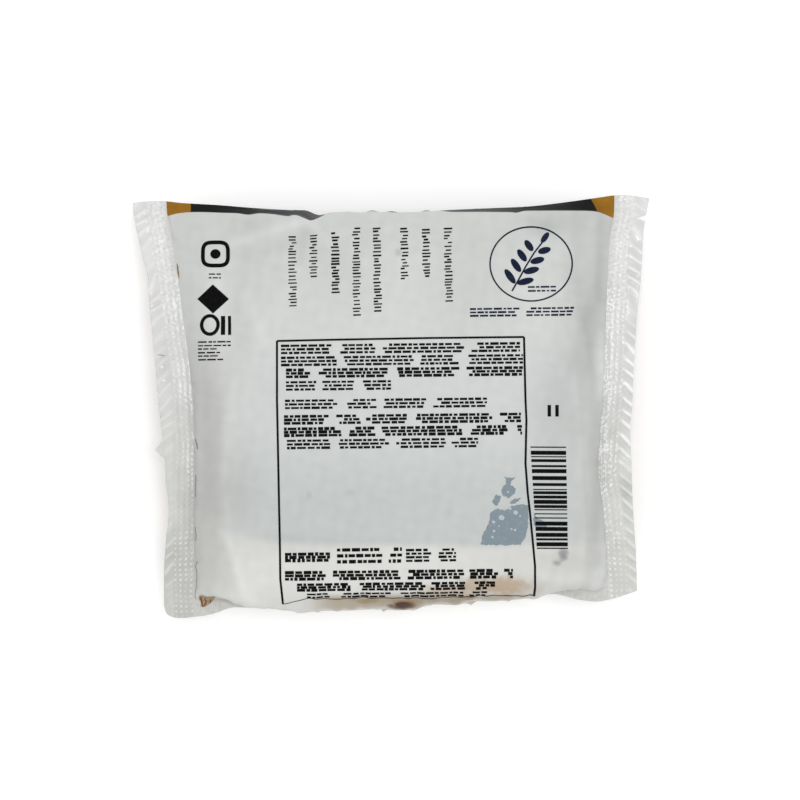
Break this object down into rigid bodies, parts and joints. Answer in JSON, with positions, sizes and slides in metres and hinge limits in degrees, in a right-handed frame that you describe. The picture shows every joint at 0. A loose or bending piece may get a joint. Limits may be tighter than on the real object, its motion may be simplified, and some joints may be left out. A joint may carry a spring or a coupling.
{
  "type": "wrapped rice ball pack",
  "caption": "Shut flow-wrapped film pack holding a triangular rice ball: rounded flat-backed body with a crimped flat fin at each end.",
  "frame": {"origin": "centre of the bounding box in plan, at the level of the front face the pack lies on", "axes": "+X from the left fin to the right fin seen from the back, +Y towards the top edge, +Z out of the back face"},
  "size_m": [0.125, 0.1018, 0.0296],
  "materials": {
    "film": "satin milky film, printed on the front"
  },
  "bodies": {
    "root": {"pack": "film"}
  },
  "joints": []
}
